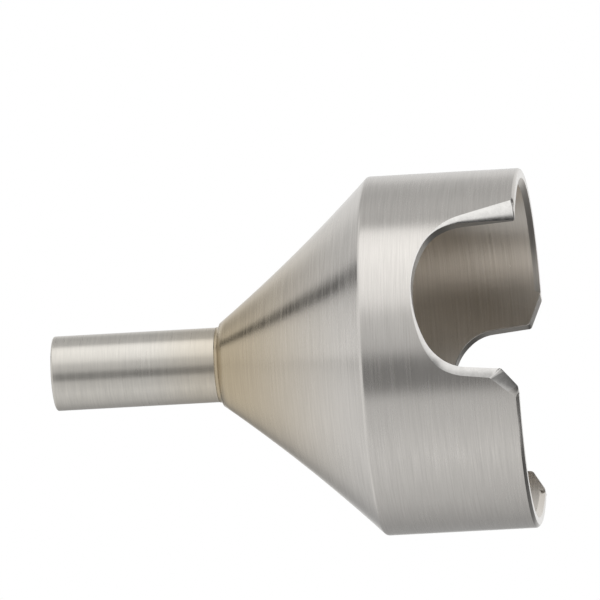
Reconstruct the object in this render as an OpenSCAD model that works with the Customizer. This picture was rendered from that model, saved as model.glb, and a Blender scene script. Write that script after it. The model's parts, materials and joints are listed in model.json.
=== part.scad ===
// Hot-air nozzle: a turned cone with a slotted spring collar, and a straight outlet tube.
// It stands on the collar's rim, with its axis on +Z and the outlet at the top. Millimetres.

/* [Collar] */
// Outside diameter of the collar
collar_d = 24; // [20:0.5:32]
// Wall of the collar
collar_wall = 1; // [0.6:0.1:1.6]
// Length of the collar, from the rim to the shoulder
collar_len = 10.2; // [9:0.1:16]
// Chamfer on the outer edge of the rim
rim_break = 0.2; // [0.05:0.05:0.25]
// Lead-in chamfer on the inner edge of the rim
rim_lead_in = 0.35; // [0.05:0.05:0.35]
// Edge break where the collar meets the cone
shoulder_break = 0.15; // [0.05:0.05:0.5]

/* [Slots] */
// Depth of the two slots, from the rim to the crown of the arch
slot_depth = 6.7; // [5:0.1:8]
// Width of a slot where its arch ends
slot_w = 10.1; // [8:0.1:12]
// Radius of the arch at its crown
slot_crown_r = 7.7; // [6.5:0.1:12]
// Radius of the arch at its two corners
slot_corner_r = 3; // [1.5:0.1:3.4]
// Angle by which each side of a slot opens towards the rim
slot_flare = 5; // [1:0.5:8]
// Flat on each lip of a slot, measured at the rim
lip_flat_w = 1.1; // [0.3:0.05:1.4]
// Length of the chamfer on one mouth corner of the front slot, along the axis
front_chamfer_len = 1.1; // [0.5:0.1:1.8]
// Width of that chamfer, across the slot
front_chamfer_w = 1.05; // [0.5:0.05:2]
// Length of the chamfers on both mouth corners of the back slot, along the axis
back_chamfer_len = 0.9; // [0.5:0.1:1.8]
// Width of those chamfers, across the slot
back_chamfer_w = 1.65; // [0.5:0.05:2]

/* [Cone] */
// Length of the cone, from the shoulder to the neck
cone_len = 10.5; // [7:0.1:16]
// Wall of the cone
cone_wall = 1; // [0.8:0.1:1.6]
// Hollow of the cone's side, at its middle
cone_sag = 0.23; // [0.05:0.01:0.5]
// Width of the weld fillet round the tube at the neck
neck_fillet = 0.3; // [0.1:0.05:0.6]

/* [Outlet tube] */
// Outside diameter of the tube
tube_d = 5; // [4:0.1:8]
// Wall of the tube
tube_wall = 0.5; // [0.3:0.05:0.8]
// Length of the tube above the neck
tube_len = 11.3; // [4:0.1:30]
// Length of the tube that sits inside the neck
tube_seat = 1.3; // [0.8:0.1:2]
// Edge break on the tip of the tube
tip_break = 0.15; // [0.05:0.05:0.25]
// Clearance between the tube and its seat in the neck
seat_gap = 0.02; // [0.01:0.01:0.05]

/* [Hidden] */
$fn = 128;
cut_margin = 2;       // how far each cut runs past the surface it opens
lip_margin = 0.3;     // how far below the arch the flats on the lips start
arc_steps = 16;       // steps along the hollow side of the cone
fillet_steps = 5;     // steps along the weld fillet
slot_steps = 12;      // steps along each arc of a slot's arch
steel = [0.72, 0.70, 0.66];

collar_r = collar_d / 2;
barrel_r = collar_r - collar_wall;
tube_r = tube_d / 2;
outlet_r = tube_r - tube_wall;
seat_r = tube_r + seat_gap;
neck_r = tube_r + neck_fillet;
neck_z = collar_len + cone_len;
tip_z = neck_z + tube_len;

// Straight line from the shoulder to the neck, and its angle to the axis
chord = norm([collar_r - neck_r, cone_len]);
cone_angle = atan2(collar_r - neck_r, cone_len);
sag_r = (chord * chord / 4 + cone_sag * cone_sag) / (2 * cone_sag);
sag_half_angle = asin(chord / 2 / sag_r);

// Height at which the inside of the cone has radius r
function inner_cone_z(r) =
    collar_len + ((collar_r - r) * cos(cone_angle) - cone_wall) / sin(cone_angle);

// Point on the hollow side of the cone: t is 0 at the shoulder and 1 at the neck
function cone_side(t) =
    let (turn = sag_half_angle * (2 * t - 1),
         along = chord / 2 + sag_r * sin(turn),
         into = sag_r * (cos(turn) - cos(sag_half_angle)))
    [collar_r - along * sin(cone_angle) - into * cos(cone_angle),
     collar_len + along * cos(cone_angle) - into * sin(cone_angle)];

// Point on the weld fillet: t is 0 on the cone and 1 on the tube
function weld_fillet(t) =
    [neck_r + seat_gap * t - neck_fillet * sin(90 * t),
     neck_z + neck_fillet * (1 - cos(90 * t))];

// Slot outline, across the slot and up the axis: arch corners, side lines and mouth
corner_x = slot_w / 2 - slot_corner_r;
crown_z = slot_depth - slot_crown_r;
corner_z = crown_z + sqrt(pow(slot_crown_r - slot_corner_r, 2) - corner_x * corner_x);
meet_angle = atan2(corner_z - crown_z, corner_x);
side_top = [corner_x, corner_z] + slot_corner_r * [cos(slot_flare), sin(slot_flare)];
function side_x(z) = side_top.x + (side_top.y - z) * tan(slot_flare);

// The flats on the lips start a little below the arch and are deepest at the rim
lip_start_z = side_top.y - lip_margin;
lip_start_y = sqrt(collar_r * collar_r - pow(side_x(lip_start_z), 2));
lip_rim_y = sqrt(collar_r * collar_r - pow(side_x(0) + lip_flat_w, 2));
lip_tilt = atan2(lip_start_y - lip_rim_y, lip_start_z);

// Mouth corners of the slots: chamfer across the slot and along the axis
front_corner = [front_chamfer_w, front_chamfer_len];
back_corner = [back_chamfer_w, back_chamfer_len];
square_corner = [0, 0];

// Points along an arc, without its first one
function arc_points(centre, radius, start, end) =
    [for (i = [1 : slot_steps])
        let (turn = start + (end - start) * i / slot_steps)
        centre + radius * [cos(turn), sin(turn)]];

// One half of a slot's outline, from the crown down to its mouth corner
function slot_half(corner) = concat(
    arc_points([0, crown_z], slot_crown_r, 90, meet_angle),
    arc_points([corner_x, corner_z], slot_corner_r, meet_angle, slot_flare),
    corner == square_corner ? [] : [[side_x(corner.y), corner.y]],
    [[side_x(0) + corner.x, 0], [side_x(0) + corner.x, -cut_margin]]);

module slot_outline(left_corner, right_corner) {
    left = slot_half(left_corner);
    left_up = [for (i = [len(left) - 1 : -1 : 0]) [-left[i].x, left[i].y]];
    polygon(concat([[0, slot_depth]], slot_half(right_corner), left_up));
}

// Slot on the -Y side, cut straight along Y from the axis outwards
module slot_cut(left_corner, right_corner) {
    rotate([90, 0, 0])
        linear_extrude(height = collar_r + cut_margin)
            slot_outline(left_corner, right_corner);
}

// Flat ground across the two lips of the slot on the +Y side
module lip_flats_cut() {
    flat_len = side_top.y / cos(lip_tilt) + cut_margin;
    translate([0, lip_rim_y, 0])
        rotate([-lip_tilt, 0, 0])
            translate([-collar_r, 0, -cut_margin])
                cube([collar_d, collar_wall + cut_margin, flat_len]);
}

module turned_shell() {
    shoulder_t = shoulder_break / chord;
    outside = [
        [barrel_r + rim_lead_in, 0],
        [collar_r - rim_break, 0],
        [collar_r, rim_break],
        [collar_r, collar_len - shoulder_break]
    ];
    side = [for (i = [0 : arc_steps]) cone_side(shoulder_t + (1 - shoulder_t) * i / arc_steps)];
    weld = [for (i = [1 : fillet_steps]) weld_fillet(i / fillet_steps)];
    inside = [
        [seat_r, inner_cone_z(seat_r)],
        [barrel_r, inner_cone_z(barrel_r)],
        [barrel_r, rim_lead_in]
    ];
    rotate_extrude() polygon(concat(outside, side, weld, inside));
}

module nozzle_body() {
    color(steel)
        difference() {
            turned_shell();
            slot_cut(front_corner, square_corner);
            rotate([0, 0, 180]) slot_cut(back_corner, back_corner);
            for (turn = [0, 180])
                rotate([0, 0, turn]) lip_flats_cut();
        }
}

module outlet_tube() {
    color(steel)
        rotate_extrude()
            polygon([
                [outlet_r, neck_z - tube_seat],
                [tube_r, neck_z - tube_seat],
                [tube_r, tip_z - tip_break],
                [tube_r - tip_break, tip_z],
                [outlet_r, tip_z]
            ]);
}

nozzle_body();
outlet_tube();
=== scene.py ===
import json
import math

import bmesh
import bpy
from mathutils import Matrix, Vector

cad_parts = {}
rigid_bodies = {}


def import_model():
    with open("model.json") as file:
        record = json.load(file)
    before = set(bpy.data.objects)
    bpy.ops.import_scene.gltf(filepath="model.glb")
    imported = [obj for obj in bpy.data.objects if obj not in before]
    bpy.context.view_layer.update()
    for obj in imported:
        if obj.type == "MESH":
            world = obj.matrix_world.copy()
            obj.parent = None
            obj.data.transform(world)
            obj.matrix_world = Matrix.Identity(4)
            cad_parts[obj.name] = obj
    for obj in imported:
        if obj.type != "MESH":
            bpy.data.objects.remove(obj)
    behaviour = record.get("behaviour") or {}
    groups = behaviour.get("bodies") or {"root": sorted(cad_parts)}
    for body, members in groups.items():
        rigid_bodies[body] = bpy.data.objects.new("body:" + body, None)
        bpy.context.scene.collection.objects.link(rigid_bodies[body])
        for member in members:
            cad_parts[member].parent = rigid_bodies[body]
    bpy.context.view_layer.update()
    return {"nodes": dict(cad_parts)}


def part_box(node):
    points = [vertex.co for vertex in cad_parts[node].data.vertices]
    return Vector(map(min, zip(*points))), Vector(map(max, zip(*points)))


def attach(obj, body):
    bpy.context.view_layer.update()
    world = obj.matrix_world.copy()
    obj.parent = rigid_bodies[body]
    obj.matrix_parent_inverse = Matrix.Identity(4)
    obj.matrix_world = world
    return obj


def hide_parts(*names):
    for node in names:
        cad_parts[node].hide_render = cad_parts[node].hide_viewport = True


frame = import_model()
print("frame loaded:", sorted(frame["nodes"]))

mm = 0.001
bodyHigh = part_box("nozzle_body")[1]
tubeLow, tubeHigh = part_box("outlet_tube")


def lerp(a, b, t):
    return a + (b - a) * t


def steps(count):
    return [i / count for i in range(1, count + 1)]


# Camera: the nozzle lies on its side in the picture, so the camera is rolled a quarter turn
shot = dict(
    azimuth=-20.9,
    elevation=-6.3,
    roll=-93.2,
    aim=Vector((3.763, -1.44, 15.26)) * mm,
    distance=534.6 * mm,
    lens=480.0,
    sensor=36.0,
    clip=(0.01, 20.0),
)


def placeCamera(setup):
    az, el = math.radians(setup["azimuth"]), math.radians(setup["elevation"])
    back = Vector((math.sin(az) * math.cos(el), -math.cos(az) * math.cos(el), math.sin(el)))
    level = back.to_track_quat("Z", "Y").to_matrix().to_4x4()
    turn = Matrix.Rotation(math.radians(setup["roll"]), 4, "Z")
    camData = bpy.data.cameras.new("photoCamera")
    camData.lens = setup["lens"]
    camData.sensor_width = setup["sensor"]
    camData.clip_start, camData.clip_end = setup["clip"]
    cam = bpy.data.objects.new("photoCamera", camData)
    cam.matrix_world = Matrix.Translation(setup["aim"] + back * setup["distance"]) @ level @ turn
    bpy.context.scene.collection.objects.link(cam)
    bpy.context.scene.camera = cam


placeCamera(shot)
print("camera placed")


# Steel finishes
finishes = dict(
    turned=dict(
        steel=(0.75, 0.722, 0.685),
        tint=(0.57, 0.48, 0.34),
        roughness=0.25,
        marks=(260.0, 9500.0),      # tool marks per metre: across the axis, along the axis
        markBump=0.18,
        anisotropic=0.6,
    ),
    bored=dict(
        steel=(0.765, 0.717, 0.653),
        tint=(0.62, 0.55, 0.46),
        roughness=0.32,
        marks=(120.0, 5200.0),
        markBump=0.5,
        anisotropic=0.6,
    ),
    # cut faces of the slots: their darker steel colour is painted shade, which also dims the glint on
    # the bore's edge there
    sawnShaded=dict(
        steel=(0.40, 0.38, 0.35),
        tint=(0.40, 0.38, 0.35),
        roughness=0.40,
        marks=(1500.0, 2600.0),
        markBump=0.25,
        anisotropic=0.0,
    ),
    ground=dict(
        steel=(0.80, 0.785, 0.76),
        tint=(0.80, 0.785, 0.76),
        roughness=0.24,
        marks=(2600.0, 3000.0),
        markBump=0.12,
        anisotropic=0.0,
    ),
    tube=dict(
        steel=(0.752, 0.723, 0.668),
        tint=(0.74, 0.68, 0.58),
        roughness=0.31,
        marks=(420.0, 7000.0),
        markBump=0.3,
        anisotropic=0.5,
    ),
)
# what all the finishes share
grain = dict(
    markDetail=4.0,
    markCoarseness=0.65,
    cloudScale=330.0,               # soft patches per metre
    cloudDetail=3.0,
    noiseSpread=(0.3, 0.7),         # most of the noise lies between these
    streak=(0.9, 1.06),             # how dark and how light the marks make the steel
    markRoughness=0.16,
    cloudRoughness=(-0.1, -0.06),   # added to the finish's own roughness
    bumpDepth=0.02 * mm,
    glossTurn=0.25,
)
heat = dict(neck=20.9 * mm, down=10.5 * mm, up=5.0 * mm)     # straw colour round the weld


def newNode(nodes, kind, inputs=None, **settings):
    node = nodes.new(kind)
    for key, value in settings.items():
        setattr(node, key, value)
    for key, value in (inputs or {}).items():
        node.inputs[key].default_value = value
    return node


def steelNoise(nodes, links, place, look):
    # long fine tool marks, and soft patches
    around, along = look["marks"]
    stretch = newNode(nodes, "ShaderNodeMapping", {"Scale": (around, around, along)})
    links.new(place, stretch.inputs["Vector"])
    marks = newNode(nodes, "ShaderNodeTexNoise", {
        "Scale": 1.0, "Detail": grain["markDetail"], "Roughness": grain["markCoarseness"]})
    links.new(stretch.outputs["Vector"], marks.inputs["Vector"])
    clouds = newNode(nodes, "ShaderNodeTexNoise", {
        "Scale": grain["cloudScale"], "Detail": grain["cloudDetail"]})
    links.new(place, clouds.inputs["Vector"])
    return marks.outputs["Fac"], clouds.outputs["Fac"]


def noiseRange(nodes, links, noise, reach):
    low, high = grain["noiseSpread"]
    fit = newNode(nodes, "ShaderNodeMapRange", {
        "From Min": low, "From Max": high, "To Min": reach[0], "To Max": reach[1]})
    links.new(noise, fit.inputs["Value"])
    return fit.outputs["Result"]


def heatGlow(nodes, links, place):
    # 1 at the weld, fading down the cone and up the tube
    split = newNode(nodes, "ShaderNodeSeparateXYZ")
    links.new(place, split.inputs["Vector"])
    glow = newNode(nodes, "ShaderNodeMath", operation="MULTIPLY")
    for i, end in enumerate((heat["neck"] - heat["down"], heat["neck"] + heat["up"])):
        fade = newNode(nodes, "ShaderNodeMapRange", {"From Min": end, "From Max": heat["neck"]},
                       interpolation_type="SMOOTHSTEP")
        links.new(split.outputs["Z"], fade.inputs["Value"])
        links.new(fade.outputs["Result"], glow.inputs[i])
    return glow.outputs["Value"]


def steelMaterial(name, look):
    mat = bpy.data.materials.new(name)
    mat.use_nodes = True
    nodes, links = mat.node_tree.nodes, mat.node_tree.links
    shader = nodes["Principled BSDF"]
    place = newNode(nodes, "ShaderNodeTexCoord").outputs["Object"]
    marks, clouds = steelNoise(nodes, links, place, look)

    colour = newNode(nodes, "ShaderNodeMix", {"A": (*look["steel"], 1), "B": (*look["tint"], 1)},
                     data_type="RGBA")
    links.new(heatGlow(nodes, links, place), colour.inputs["Factor"])
    shade = newNode(nodes, "ShaderNodeVectorMath", operation="SCALE")
    links.new(colour.outputs["Result"], shade.inputs["Vector"])
    links.new(noiseRange(nodes, links, marks, grain["streak"]), shade.inputs["Scale"])
    links.new(shade.outputs["Vector"], shader.inputs["Base Color"])

    dull = [look["roughness"] + change for change in grain["cloudRoughness"]]
    rough = newNode(nodes, "ShaderNodeMath", {1: grain["markRoughness"]}, operation="MULTIPLY_ADD")
    links.new(marks, rough.inputs[0])
    links.new(noiseRange(nodes, links, clouds, dull), rough.inputs[2])
    links.new(rough.outputs["Value"], shader.inputs["Roughness"])

    bump = newNode(nodes, "ShaderNodeBump", {
        "Strength": look["markBump"], "Distance": grain["bumpDepth"]})
    links.new(marks, bump.inputs["Height"])
    links.new(bump.outputs["Normal"], shader.inputs["Normal"])

    # the marks run round the axis, so the gloss spreads along it
    if look["anisotropic"]:
        ring = newNode(nodes, "ShaderNodeVectorMath", {0: (0, 0, 1)}, operation="CROSS_PRODUCT")
        links.new(place, ring.inputs[1])
        links.new(ring.outputs["Vector"], shader.inputs["Tangent"])
        shader.inputs["Anisotropic"].default_value = look["anisotropic"]
        shader.inputs["Anisotropic Rotation"].default_value = grain["glossTurn"]
    shader.inputs["Metallic"].default_value = 1.0
    return mat


materials = {name: steelMaterial(name + "Steel", look) for name, look in finishes.items()}
print("materials:", ", ".join(m.name for m in materials.values()))


# Nozzle body: a turned shell whose collar rows are then drawn up to the slots
body = dict(
    collarRadius=bodyHigh.x,
    collarLength=10.2 * mm,
    wall=1.0 * mm,
    rimBreak=0.2 * mm,
    rimLeadIn=0.35 * mm,
    shoulderRound=0.15 * mm,
    neckHeight=20.7 * mm,
    coneSlant=14.0 * mm,            # about the length of the cone's side
    coneSag=0.23 * mm,
    coneWall=1.0 * mm,
    weldFillet=0.3 * mm,
    seatGap=0.02 * mm,
    columns=360,
    collarRows=(0, 0.015, 0.05, 0.11, 0.19, 0.28, 0.38, 0.49, 0.61, 0.74, 0.87, 0.985, 1),
    shoulderRows=4,
    firstConeRow=0.006,             # one row close to the shoulder keeps its light crisp
    coneRows=26,
    weldRows=6,
    innerConeRows=12,
    crease=math.radians(20),
    skins=("turned", "bored", "sawnShaded", "ground"),
)
slot = dict(
    depth=6.7 * mm,
    width=10.1 * mm,
    crownRadius=7.7 * mm,
    crownSteps=15,
    cornerRadius=3.0 * mm,
    cornerSteps=14,
    flare=math.radians(5.0),
    boreBreak=0.04 * mm,
    lipCrown=0.1 * mm,              # width of the ground lip at the crown
    lipSpread=0.25,                 # how fast it widens from there
    lipSlope=0.45,                  # how steeply it is ground along the arch
    squareTurn=0.06 * mm,           # at a square mouth the lip turns this far above the rim's break
    facetRise=0.74 * mm,            # the facet on a chamfered mouth starts this far above it
    facetWidth=0.53 * mm,
    facetDepth=0.06 * mm,
    facetOnset=4,                   # it is at full depth after one part in four of the mouth
    runOutWidth=0.6 * mm,           # on the rim, the lip runs out over this width
    runOutColumns=8,
)
# mouth corners: chamfer across the slot and along the axis,
# then the lip's width at the rim, its taper, depth and crowning
mouths = dict(
    square=dict(across=0, along=0, lip=1.45 * mm, taper=0.26, sink=1.06, bulge=0.2,
                sideSteps=17, rounding=0.25 * mm, roundSteps=5),
    front=dict(across=1.05 * mm, along=1.1 * mm, lip=0.72 * mm, taper=0.03, sink=0.9, bulge=0.06,
               sideSteps=12, rounding=0.3 * mm, roundSteps=3, slantSteps=6),
    rear=dict(across=1.65 * mm, along=0.9 * mm, lip=0.72 * mm, taper=0.03, sink=0.9, bulge=0.06,
              sideSteps=12, rounding=0.3 * mm, roundSteps=3, slantSteps=6),
)
# mouth of each quarter of the collar, by the sign of X and Y
quarterMouths = {(1, -1): "square", (-1, -1): "front", (1, 1): "rear", (-1, 1): "rear"}


def coneLine(setup):
    # straight line from the shoulder to the neck: start, length and angle to the axis
    r0, z0 = setup["collarRadius"], setup["collarLength"]
    r1, z1 = tubeHigh.x + setup["weldFillet"], setup["neckHeight"]
    return r0, z0, math.hypot(r0 - r1, z1 - z0), math.atan2(r0 - r1, z1 - z0)


def coneSide(setup, t):
    # radius and height on the hollow side of the cone, from 0 at the shoulder to 1 at the neck
    r0, z0, chord, angle = coneLine(setup)
    radius = (chord * chord / 4 + setup["coneSag"] ** 2) / (2 * setup["coneSag"])
    half = math.asin(chord / 2 / radius)
    turn = half * (2 * t - 1)
    along = chord / 2 + radius * math.sin(turn)
    into = radius * (math.cos(turn) - math.cos(half))
    return (r0 - along * math.sin(angle) - into * math.cos(angle),
            z0 + along * math.cos(angle) - into * math.sin(angle))


def innerConeHeight(setup, r):
    r0, z0, chord, angle = coneLine(setup)
    return z0 + ((r0 - r) * math.cos(angle) - setup["coneWall"]) / math.sin(angle)


def shoulderArc(setup, coneStart):
    # a soft corner between the collar and the cone, bent towards the point where they would meet
    start = Vector((setup["collarRadius"], setup["collarLength"] - setup["shoulderRound"]))
    corner = Vector((setup["collarRadius"], setup["collarLength"]))
    end = Vector(coneSide(setup, coneStart))
    return [tuple(start.lerp(corner, s).lerp(corner.lerp(end, s), s))
            for s in steps(setup["shoulderRows"])]


def bodySection(setup):
    # rows of the closed section: kind, radius, height, share of the collar's height above its edge
    big, small = setup["collarRadius"], setup["collarRadius"] - setup["wall"]
    top = setup["collarLength"] - setup["shoulderRound"]
    innerTop = innerConeHeight(setup, small)
    shares = setup["collarRows"]
    rows = [("outer", big, lerp(setup["rimBreak"], top, s), s) for s in shares]
    coneStart = setup["shoulderRound"] / setup["coneSlant"]
    rows += [("turned", *p, 1) for p in shoulderArc(setup, coneStart)]
    rows += [("turned", *coneSide(setup, lerp(coneStart, 1, s)), 1)
             for s in [setup["firstConeRow"]] + steps(setup["coneRows"])]
    fillet, neck, gap = setup["weldFillet"], setup["neckHeight"], setup["seatGap"]
    for s in steps(setup["weldRows"]):
        turn = math.pi / 2 * s
        rows.append(("turned", tubeHigh.x + fillet + gap * s - fillet * math.sin(turn),
                     neck + fillet * (1 - math.cos(turn)), 1))
    seat = tubeHigh.x + gap
    seatLow = innerConeHeight(setup, seat)
    rows += [("bore", seat, lerp(neck + fillet, seatLow, s), 1) for s in steps(2)]
    rows += [("bore", lerp(seat, small, s), lerp(seatLow, innerTop, s), 1)
             for s in steps(setup["innerConeRows"])]
    rows += [("inner", small, lerp(setup["rimLeadIn"], innerTop, s), s) for s in reversed(shares[:-1])]
    rows.append(("wallInner", small + setup["rimLeadIn"], 0, 0))
    rows.append(("wallOuter", big - setup["rimBreak"], 0, 0))
    rows.append(("lip", big, setup["rimBreak"] / 2, 0))
    return rows


def roundedCorner(point, before, after, radius, count):
    # points and normals into the wall along a rounded corner of the slot's outline
    turn = before.angle(after)
    start = point - before * radius * math.tan(turn / 2)
    n0, n1 = Vector((-before.y, before.x)), Vector((-after.y, after.x))
    centre = start + n0 * radius
    found = []
    for s in [0] + steps(count):
        n = n0.slerp(n1, s)
        found.append((centre - n * radius, n))
    return found


def slotOutline(cut, mouth):
    # from the crown down one side to the rim: part, point across and up, normal into the wall
    crown = Vector((0, cut["depth"] - cut["crownRadius"]))
    gap = cut["crownRadius"] - cut["cornerRadius"]
    cornerX = cut["width"] / 2 - cut["cornerRadius"]
    corner = Vector((cornerX, crown.y + math.sqrt(gap * gap - cornerX * cornerX)))
    meet = math.atan2(corner.y - crown.y, corner.x)
    flare = cut["flare"]
    arcs = ((crown, cut["crownRadius"], math.pi / 2, meet, [0] + steps(cut["crownSteps"])),
            (corner, cut["cornerRadius"], meet, flare, steps(cut["cornerSteps"])))
    path = []
    for centre, radius, a0, a1, shares in arcs:
        for s in shares:
            n = Vector((math.cos(lerp(a0, a1, s)), math.sin(lerp(a0, a1, s))))
            path.append(("arch", centre + n * radius, n))
    sideTop, sideNormal = path[-1][1:]
    down = Vector((math.sin(flare), -math.cos(flare)))
    foot = sideTop + down * (sideTop.y / math.cos(flare))
    rim = Vector((1, 0))
    rounding, count = mouth["rounding"], mouth["roundSteps"]
    if mouth["across"]:
        bend = sideTop + down * ((sideTop.y - mouth["along"]) / math.cos(flare))
        end = Vector((foot.x + mouth["across"], 0))
        slant = (end - bend).normalized()
        first = roundedCorner(bend, down, slant, rounding, count)
        second = roundedCorner(end, slant, rim, rounding, count)
        middle = [(first[-1][0].lerp(second[0][0], s), first[-1][1]) for s in steps(mouth["slantSteps"])]
        turned = first + middle + second[1:]
    else:
        turned = roundedCorner(foot, down, rim, rounding, count)
    path += [("side", sideTop.lerp(turned[0][0], s), sideNormal) for s in steps(mouth["sideSteps"])]
    path += [("mouth", *found) for found in turned[1:]]
    return path


def angleAcross(distance, radius):
    return math.asin(min(1, distance / radius))


def lipWidth(cut, mouth, height):
    arch = cut["lipCrown"] + cut["lipSpread"] * (cut["depth"] - height)
    return max(cut["lipCrown"], min(arch, mouth["lip"] - mouth["taper"] * height))


def lipCorners(setup, cut, mouth, path):
    # where the lip's border turns at the mouth, and where it ends on the rim
    sideFoot = [p for part, p, n in path if part == "side"][-1]
    rimBreak, turn = setup["rimBreak"], cut["squareTurn"]
    height = mouth["along"] + cut["facetRise"] if mouth["across"] else rimBreak + turn
    across = sideFoot.x + (sideFoot.y - height) * math.tan(cut["flare"])
    lipTurn = Vector((across + lipWidth(cut, mouth, height), height))
    if mouth["across"]:
        return lipTurn, Vector((path[-1][1].x + cut["facetWidth"], rimBreak))
    return lipTurn, lipTurn + Vector((turn, -turn))


def wallColumn(setup, mouth, outer, inner, height, lip, depth, bore, boreDepth):
    # one column of the collar: the lip's border, both edges of the wall and the bore's border
    big, small = setup["collarRadius"], setup["collarRadius"] - setup["wall"]
    o = Vector((big * math.sin(outer), big * math.cos(outer)))
    i = Vector((small * math.sin(inner), small * math.cos(inner)))
    along = (i - o).normalized()
    return dict(outer=lip, inner=bore, height=height, wallOuter=o + along * depth,
                wallInner=i - along * boreDepth, bulge=mouth["bulge"])


def collarColumns(setup, cut, mouth):
    # the columns of one quarter of the collar, from the slot's crown to the middle of the rim
    big, small = setup["collarRadius"], setup["collarRadius"] - setup["wall"]
    rimBreak, leadIn, boreBreak = setup["rimBreak"], setup["rimLeadIn"], cut["boreBreak"]
    path = slotOutline(cut, mouth)
    lipTurn, lipEnd = lipCorners(setup, cut, mouth, path)
    counts = {part: sum(1 for row in path if row[0] == part) for part in ("side", "mouth")}
    done = {"side": 0, "mouth": 0}
    columns = []
    for part, p, n in path:
        if part == "arch":
            lip = lipStart = p + n * lipWidth(cut, mouth, p.y)
        else:
            done[part] += 1
            share = done[part] / counts[part]
            if part == "side":
                lip = lipStart.lerp(lipTurn, share)
            else:
                lip = lipTurn.lerp(lipEnd, share * share)
        outer, lipAngle = angleAcross(p.x, big), angleAcross(lip.x, big)
        chord = big * (math.cos(outer) - math.cos(lipAngle))
        depth = max(chord * mouth["sink"], cut["lipSlope"] * (lip.y - p.y))
        if part == "mouth" and mouth["across"]:
            depth = lerp(depth, cut["facetDepth"], min(1, cut["facetOnset"] * share))
        bore = (angleAcross(p.x + n.x * boreBreak, small), p.y + n.y * boreBreak)
        columns.append(wallColumn(setup, mouth, outer, angleAcross(p.x, small), p.y,
                                  (lipAngle, lip.y), depth, bore, boreBreak))

    # along the rim: the lip runs out first, then the plain rim follows
    start, startInner = outer, angleAcross(path[-1][1].x, small)
    flat = big * math.cos(lipAngle)
    plain = setup["columns"] // 4 + 1 - len(columns) - cut["runOutColumns"]
    end = lipAngle + cut["runOutWidth"] / big
    endInner = lerp(startInner, math.pi / 2, (end - start) / (math.pi / 2 - start))
    for s in steps(cut["runOutColumns"]):
        outer, inner = lerp(start, end, s), lerp(startInner, endInner, s)
        depth = max(rimBreak, big * math.cos(outer) - flat + rimBreak / 2)
        columns.append(wallColumn(setup, mouth, outer, inner, 0, (lerp(lipAngle, end, s * s), rimBreak),
                                  depth, (inner, leadIn), leadIn))
    for s in steps(plain):
        outer, inner = lerp(end, math.pi / 2, s), lerp(endInner, math.pi / 2, s)
        columns.append(wallColumn(setup, mouth, outer, inner, 0, (outer, rimBreak),
                                  rimBreak, (inner, leadIn), leadIn))
    return columns


def collarPoint(row, top, column, angle):
    kind, radius, height, share = row
    if kind in ("wallOuter", "wallInner"):
        return Vector((*column[kind], column["height"]))
    if kind == "lip":
        return lipPoint(radius, column)
    edge, low = column[kind]
    turn = lerp(edge, angle, share)
    return Vector((radius * math.sin(turn), radius * math.cos(turn), lerp(low, top, share)))


def lipPoint(radius, column):
    # middle of the lip's flat, a little proud of it, because a ground edge is never quite flat
    edge, low = column["outer"]
    out = Vector((math.sin(edge), math.cos(edge), 0))
    start = out * radius + Vector((0, 0, low))
    across = Vector((*column["wallOuter"], column["height"])) - start
    out -= across * (out.dot(across) / across.length_squared)
    return start + across / 2 + out.normalized() * across.length * column["bulge"]


def spinRing(bm, ring, columns):
    edges = [bm.edges.new((a, b)) for a, b in zip(ring, ring[1:] + ring[:1])]
    bmesh.ops.spin(bm, geom=ring + edges, cent=(0, 0, 0), axis=(0, 0, 1), angle=2 * math.pi,
                   steps=columns, use_merge=True)


def meshObject(name, bm, *mats):
    mesh = bpy.data.meshes.new(name)
    bm.to_mesh(mesh)
    bm.free()
    for mat in mats:
        mesh.materials.append(mat)
    piece = bpy.data.objects.new(name, mesh)
    bpy.context.scene.collection.objects.link(piece)
    return piece


def crispRows(rows):
    # rows with a sharp edge along them: both edges of the wall, the collar's edges and the seat's
    crisp = set()
    for i, (kind, radius, height, share) in enumerate(rows):
        collarEdge = kind in ("outer", "inner") and share == 0
        seatEdge = kind == "bore" and rows[i - 1][0] != "bore"
        if kind.startswith("wall") or collarEdge or seatEdge:
            crisp.add(i)
    return crisp


def bodySkin(kinds, onSlot):
    if "lip" in kinds:
        return "ground" if onSlot else "turned"
    # the slot's cut faces and the bore's break beside them take the darker steel, painted shade
    if kinds & {"wallOuter", "wallInner"} and onSlot:
        return "sawnShaded"
    if kinds & {"bore", "inner"} and "turned" not in kinds:
        return "bored"
    return "turned"


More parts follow.
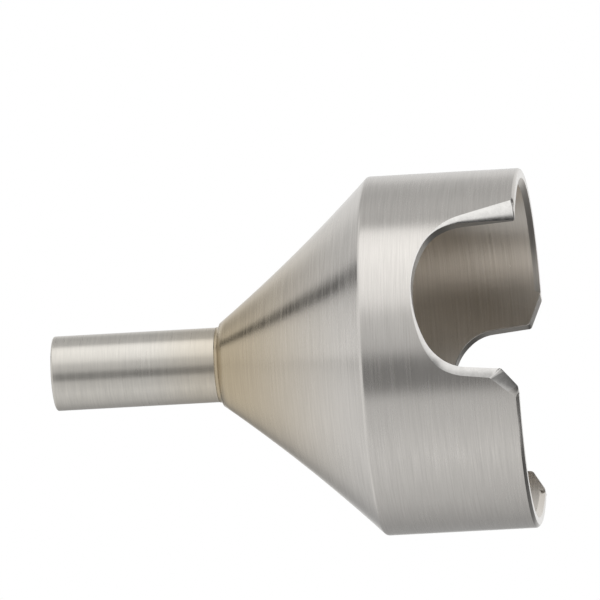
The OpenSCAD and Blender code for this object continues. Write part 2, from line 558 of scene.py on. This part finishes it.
def makeBody(setup, cut):
    rows = bodySection(setup)
    bm = bmesh.new()
    for layer in ("row", "column"):
        bm.verts.layers.int.new(layer)
    rowLayer, columnLayer = bm.verts.layers.int["row"], bm.verts.layers.int["column"]
    ring = []
    for i, (kind, radius, height, share) in enumerate(rows):
        v = bm.verts.new((0, -radius, height))
        v[rowLayer] = i
        ring.append(v)
    spinRing(bm, ring, setup["columns"])

    # draw the collar's rows up to the slots, a quarter at a time
    tops = {kind: max(r[2] for r in rows if r[0] == kind) for kind in ("outer", "inner")}
    quarter = setup["columns"] // 4
    quarters = {key: collarColumns(setup, cut, mouth) for key, mouth in mouths.items()}
    for v in bm.verts:
        row = rows[v[rowLayer]]
        sideX, sideY = (1 if v.co.x >= 0 else -1), (1 if v.co.y > 0 else -1)
        angle = math.atan2(abs(v.co.x), abs(v.co.y))
        v[columnLayer] = round(angle / (math.pi / 2) * quarter)
        if row[0] in ("outer", "inner", "wallOuter", "wallInner", "lip"):
            column = quarters[quarterMouths[sideX, sideY]][v[columnLayer]]
            p = collarPoint(row, tops.get(row[0]), column, angle)
            v.co = (p.x * sideX, p.y * sideY, p.z)

    bmesh.ops.recalc_face_normals(bm, faces=bm.faces)
    slotColumns = len(slotOutline(cut, mouths["square"]))
    for f in bm.faces:
        kinds = {rows[v[rowLayer]][0] for v in f.verts}
        onSlot = max(v[columnLayer] for v in f.verts) < slotColumns
        f.smooth = True
        f.material_index = setup["skins"].index(bodySkin(kinds, onSlot))
    crisp = crispRows(rows)
    for e in bm.edges:
        a, b = (v[rowLayer] for v in e.verts)
        e.smooth = not (a in crisp if a == b else e.calc_face_angle(0) > setup["crease"])
    return meshObject("nozzleBody", bm, *(materials[skin] for skin in setup["skins"]))


nozzleBody = makeBody(body, slot)
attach(nozzleBody, "root")
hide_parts("nozzle_body")
print("nozzle body:", len(nozzleBody.data.polygons), "faces")


# Outlet tube: a plain turned tube with a softened tip
tube = dict(
    radius=tubeHigh.x,
    low=tubeLow.z,
    high=tubeHigh.z,
    wall=0.5 * mm,
    tipRound=0.15 * mm,
    boreRound=0.06 * mm,
    columns=192,
    outerRows=24,
    tipRows=6,
    boreRoundRows=4,
    boreRows=12,
    crease=math.radians(30),
    skins=("tube", "bored"),
)


def quarterRound(centre, radius, start, count):
    turns = [math.radians(start + 90 * s) for s in [0] + steps(count)]
    return [(centre[0] + radius * math.cos(t), centre[1] + radius * math.sin(t)) for t in turns]


def makeTube(setup):
    out, bore = setup["radius"], setup["radius"] - setup["wall"]
    low, high = setup["low"], setup["high"]
    tip, lip = setup["tipRound"], setup["boreRound"]
    section = [(out, lerp(low, high - tip, s)) for s in [0] + steps(setup["outerRows"])[:-1]]
    section += quarterRound((out - tip, high - tip), tip, 0, setup["tipRows"])
    section += quarterRound((bore + lip, high - lip), lip, 90, setup["boreRoundRows"])
    section += [(bore, lerp(high - lip, low, s)) for s in steps(setup["boreRows"])]
    bm = bmesh.new()
    spinRing(bm, [bm.verts.new((0, -r, z)) for r, z in section], setup["columns"])
    bmesh.ops.recalc_face_normals(bm, faces=bm.faces)
    for f in bm.faces:
        inside = f.calc_center_median().xy.length < bore + lip / 2
        f.smooth = True
        f.material_index = setup["skins"].index("bored" if inside else "tube")
    for e in bm.edges:
        e.smooth = e.calc_face_angle(0) < setup["crease"]
    return meshObject("outletTube", bm, *(materials[skin] for skin in setup["skins"]))


outletTube = makeTube(tube)
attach(outletTube, "root")
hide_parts("outlet_tube")
print("outlet tube:", len(outletTube.data.polygons), "faces")


# Studio: a pale floor, a round light tent with grey panels, and one soft lamp
studio = dict(
    floorRadius=0.45,
    floorSegments=128,
    floorColour=(0.86, 0.86, 0.85),
    floorDrop=0.02 * mm,
    tentRadius=1.2,
    tentSegments=(96, 48),
    cameraSide=-110.9,              # direction of the camera round the axis
    # grey of the tent, by degrees from the camera towards the top of the picture
    panels=((-180, 0.95), (-174, 0.95), (-165, 0.36), (-140, 0.36), (-124, 0.44), (-108, 0.55),
            (-85, 0.64), (-50, 0.65), (-27, 0.62), (-21, 0.22), (-3, 0.22), (4, 0.58), (26, 0.62),
            (36, 0.98), (56, 1.1), (70, 1.2), (86, 1.15), (92, 0.5), (105, 0.56), (125, 0.48),
            (140, 0.54), (150, 0.72), (164, 0.75), (174, 0.95), (180, 0.95)),
    roof=((-180, 0.3), (-165, 0.34), (-146, 0.58), (-122, 0.8), (-102, 0.78), (0, 0.76), (95, 0.85),
          (107, 0.87), (131, 0.48), (144, 0.56), (153, 0.84), (170, 0.95), (180, 0.72)),
    roofHeight=(18, 37),            # degrees of elevation between which it takes over
    kicker=((-180, 0.95), (-170, 0.95), (-158, 0.2), (-104, 0.06), (-88, 0.08), (-82, 0.4),
            (-75, 1.75), (-65, 1.75), (-54, 0.5), (-46, 0.08), (-28, 0.03), (8, 0.04), (20, 1.0),
            (60, 1.1), (75, 0.6), (88, 0.08), (110, 0.08), (120, 0.8), (155, 0.8), (168, 0.95),
            (180, 0.95)),
    kickerHeight=(-6, -13),
    nadir=0.15,
    nadirHeight=(-42, -60),
    # a dark strip across the roof: where it hangs, its lower and upper edges, and its grey
    flag=((-180, 1), (-170, 1), (-160, 0), (70, 0), (82, 1), (180, 1)),
    flagLow=(56.0, 60.0),
    flagHigh=(64.2, 66.6),
    flagGrey=0.02,
    lampHeight=0.9,
    lampSize=0.5,
    lampPower=2.2,
)


def plainMaterial(name):
    mat = bpy.data.materials.new(name)
    mat.use_nodes = True
    mat.node_tree.nodes.clear()
    out = mat.node_tree.nodes.new("ShaderNodeOutputMaterial")
    return mat, mat.node_tree.nodes, mat.node_tree.links, out


def makeFloor(setup):
    # seen from above only: from below it is clear, because the camera looks up past the rim
    mat, nodes, links, out = plainMaterial("paleFloor")
    pale = newNode(nodes, "ShaderNodeBsdfDiffuse", {"Color": (*setup["floorColour"], 1)})
    clear = newNode(nodes, "ShaderNodeBsdfTransparent")
    mix = newNode(nodes, "ShaderNodeMixShader")
    side = newNode(nodes, "ShaderNodeNewGeometry")
    links.new(side.outputs["Backfacing"], mix.inputs["Fac"])
    links.new(pale.outputs["BSDF"], mix.inputs[1])
    links.new(clear.outputs["BSDF"], mix.inputs[2])
    links.new(mix.outputs["Shader"], out.inputs["Surface"])
    bm = bmesh.new()
    bmesh.ops.create_circle(bm, cap_ends=True, segments=setup["floorSegments"],
                            radius=setup["floorRadius"],
                            matrix=Matrix.Translation((0, 0, -setup["floorDrop"])))
    floor = meshObject("floor", bm, mat)
    floor.visible_glossy = False
    return floor


def greyRamp(nodes, stops):
    ramp = newNode(nodes, "ShaderNodeValToRGB")
    elements = ramp.color_ramp.elements
    elements[0].position, elements[-1].position = 0, 1
    for degrees, grey in stops[1:-1]:
        elements.new((degrees + 180) / 360)
    for element, (degrees, grey) in zip(elements, stops):
        element.color = (grey, grey, grey, 1)
    return ramp


def blend(nodes, links, level, reach, below):
    # a mix that shows A up to the first elevation, and only B from the second one on
    mix = newNode(nodes, "ShaderNodeMix", data_type="RGBA")
    start, end = (math.radians(degrees) for degrees in reach)
    share = newNode(nodes, "ShaderNodeMapRange", {"From Min": start, "From Max": end},
                    interpolation_type="SMOOTHSTEP")
    links.new(level, share.inputs["Value"])
    links.new(share.outputs["Result"], mix.inputs["Factor"])
    links.new(below, mix.inputs["A"])
    return mix


def tentDirection(nodes, links, setup):
    # share of a turn round the axis from behind the object, and elevation
    coord = newNode(nodes, "ShaderNodeTexCoord")
    turn = newNode(nodes, "ShaderNodeMapping", {"Rotation": (0, 0, -math.radians(setup["cameraSide"]))})
    links.new(coord.outputs["Object"], turn.inputs["Vector"])
    split = newNode(nodes, "ShaderNodeSeparateXYZ")
    links.new(turn.outputs["Vector"], split.inputs["Vector"])
    angle = newNode(nodes, "ShaderNodeMath", operation="ARCTAN2")
    links.new(split.outputs["Y"], angle.inputs[0])
    links.new(split.outputs["X"], angle.inputs[1])
    share = newNode(nodes, "ShaderNodeMapRange", {"From Min": -math.pi, "From Max": math.pi})
    links.new(angle.outputs["Value"], share.inputs["Value"])
    unit = newNode(nodes, "ShaderNodeMath", {1: setup["tentRadius"]}, operation="DIVIDE")
    links.new(split.outputs["Z"], unit.inputs[0])
    height = newNode(nodes, "ShaderNodeMath", operation="ARCSINE")
    links.new(unit.outputs["Value"], height.inputs[0])
    return share.outputs["Result"], height.outputs["Value"]


def makeTent(setup):
    mat, nodes, links, out = plainMaterial("tentCloth")
    share, level = tentDirection(nodes, links, setup)
    ramps = {}
    for key in ("panels", "roof", "kicker", "flag"):
        ramp = greyRamp(nodes, setup[key])
        links.new(share, ramp.inputs["Fac"])
        ramps[key] = ramp.outputs["Color"]
    grey = ramps["panels"]
    for key in ("roof", "kicker"):
        mix = blend(nodes, links, level, setup[key + "Height"], grey)
        links.new(ramps[key], mix.inputs["B"])
        grey = mix.outputs["Result"]
    bottom = blend(nodes, links, level, setup["nadirHeight"], grey)
    bottom.inputs["B"].default_value = (setup["nadir"],) * 3 + (1,)
    plain = bottom.outputs["Result"]
    low = blend(nodes, links, level, setup["flagLow"], plain)
    low.inputs["B"].default_value = (setup["flagGrey"],) * 3 + (1,)
    high = blend(nodes, links, level, setup["flagHigh"], low.outputs["Result"])
    links.new(plain, high.inputs["B"])
    strip = newNode(nodes, "ShaderNodeMix", data_type="RGBA")
    links.new(ramps["flag"], strip.inputs["Factor"])
    links.new(plain, strip.inputs["A"])
    links.new(high.outputs["Result"], strip.inputs["B"])
    cloth = newNode(nodes, "ShaderNodeEmission")
    links.new(strip.outputs["Result"], cloth.inputs["Color"])
    links.new(cloth.outputs["Emission"], out.inputs["Surface"])
    bm = bmesh.new()
    around, upwards = setup["tentSegments"]
    bmesh.ops.create_uvsphere(bm, u_segments=around, v_segments=upwards, radius=setup["tentRadius"])
    tent = meshObject("lightTent", bm, mat)
    tent.visible_camera = False
    tent.visible_shadow = False
    return tent


def makeLamp(setup):
    # lights the floor; the steel shows the tent alone
    data = bpy.data.lights.new("softLamp", "AREA")
    data.shape = "DISK"
    data.size = setup["lampSize"]
    data.energy = setup["lampPower"]
    lamp = bpy.data.objects.new("softLamp", data)
    lamp.location = (0, 0, setup["lampHeight"])
    lamp.visible_camera = False
    lamp.visible_glossy = False
    bpy.context.scene.collection.objects.link(lamp)


def makeWorld():
    world = bpy.data.worlds.new("studioWhite")
    world.use_nodes = True
    world.node_tree.nodes["Background"].inputs["Color"].default_value = (1, 1, 1, 1)
    bpy.context.scene.world = world


makeFloor(studio)
makeTent(studio)
makeLamp(studio)
makeWorld()
bpy.context.scene.view_settings.view_transform = "Standard"
print("studio ready")
